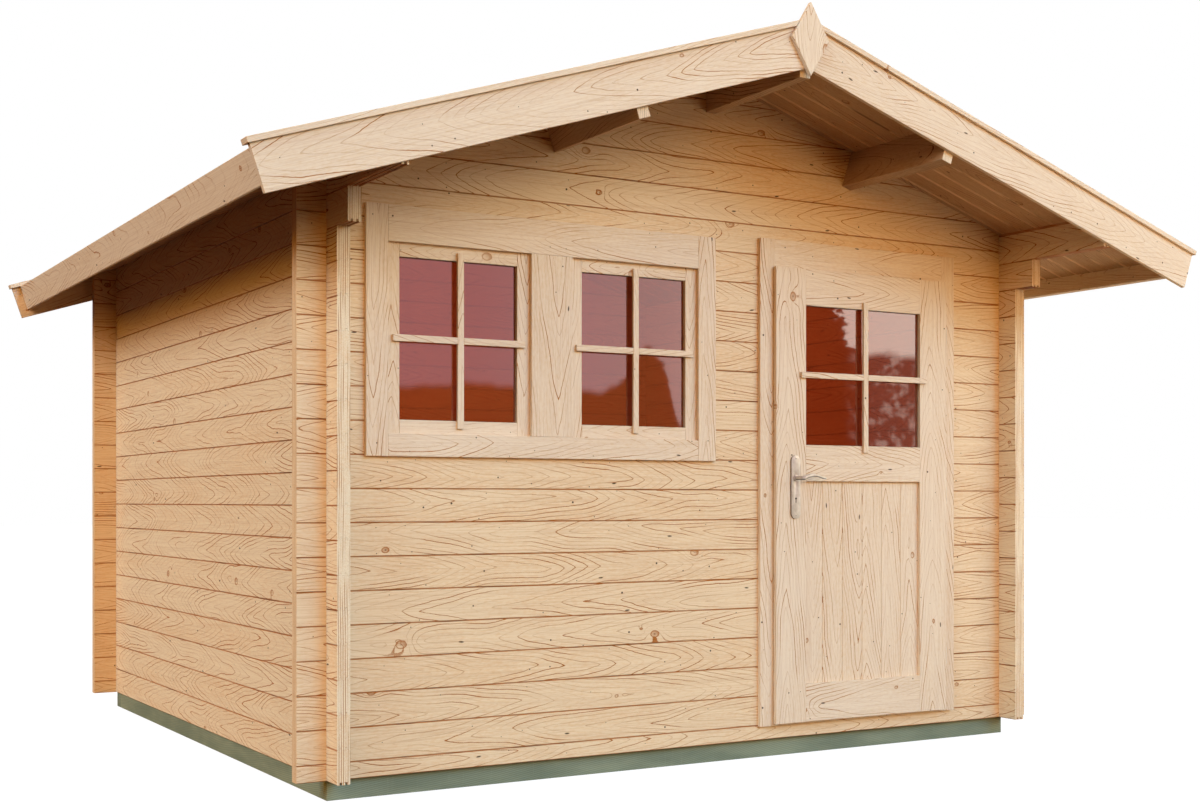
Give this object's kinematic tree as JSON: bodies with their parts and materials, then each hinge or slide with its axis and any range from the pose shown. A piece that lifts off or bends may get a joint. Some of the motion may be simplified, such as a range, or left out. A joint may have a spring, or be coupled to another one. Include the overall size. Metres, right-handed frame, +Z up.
{
  "type": "garden house",
  "caption": "Log garden house with interlocking corners, an overhanging gable roof, a fixed double window and a half-glazed door that opens outwards.",
  "frame": {"origin": "On the ground under the middle of the walls.", "axes": "X along the front wall to the right, Y to the back, Z up. The door and the window are in the wall that faces -Y."},
  "size_m": [3.9116, 3.7732, 2.7072],
  "materials": {
    "log_pine": "planed, untreated",
    "trim_pine": "planed, untreated",
    "roof_pine": "planed, untreated",
    "floor_pine": "planed, untreated",
    "treated_timber": "sawn, pressure treated",
    "window_glass": "clear",
    "handle_steel": "satin"
  },
  "bodies": {
    "house": {"cross_bearers": "treated_timber", "side_bearers": "treated_timber", "floor_joists": "treated_timber", "floor_deck": "floor_pine", "left_wall_logs": "log_pine", "right_wall_logs": "log_pine", "left_eave_logs": "log_pine", "right_eave_logs": "log_pine", "back_wall_logs": "log_pine", "back_gable_logs": "log_pine", "front_sill_log": "log_pine", "front_logs_below_window": "log_pine", "front_logs_beside_window": "log_pine", "front_logs_right_of_door": "log_pine", "front_top_logs": "log_pine", "front_gable_logs": "log_pine", "ridge_purlin": "roof_pine", "mid_purlins": "roof_pine", "roof_left": "roof_pine", "roof_right": "roof_pine", "left_bargeboards": "trim_pine", "right_bargeboards": "trim_pine", "left_cover_strips": "trim_pine", "right_cover_strips": "trim_pine", "eave_boards": "trim_pine", "ridge_finials": "trim_pine", "window_frame": "trim_pine", "window_casing": "trim_pine", "window_trim": "trim_pine", "left_sash": "trim_pine", "right_sash": "trim_pine", "window_panes": "window_glass", "door_frame": "trim_pine", "door_threshold": "trim_pine", "door_casing": "trim_pine", "door_trim": "trim_pine", "frame_hinges": "handle_steel"},
    "door": {"door_stiles": "trim_pine", "door_rails": "trim_pine", "door_panel": "trim_pine", "door_pane": "window_glass", "handle_plates": "handle_steel", "leaf_hinges": "handle_steel"},
    "lever": {"lever_outside": "handle_steel", "lever_inside": "handle_steel"}
  },
  "joints": [
    {"name": "door_hinge", "type": "hinge", "parent": "house", "child": "door", "pos_m": [1.135, -1.525, 1.0105], "axis": [0, 0, 1], "range_deg": [0, 110]},
    {"name": "lever_turn", "type": "hinge", "parent": "door", "child": "lever", "pos_m": [0.36, -1.52, 1.0775], "axis": [0, 1, 0], "range_deg": [0, 40], "stiffness_Nm_per_rad": 0.6, "springref_deg": -28.65}
  ]
}
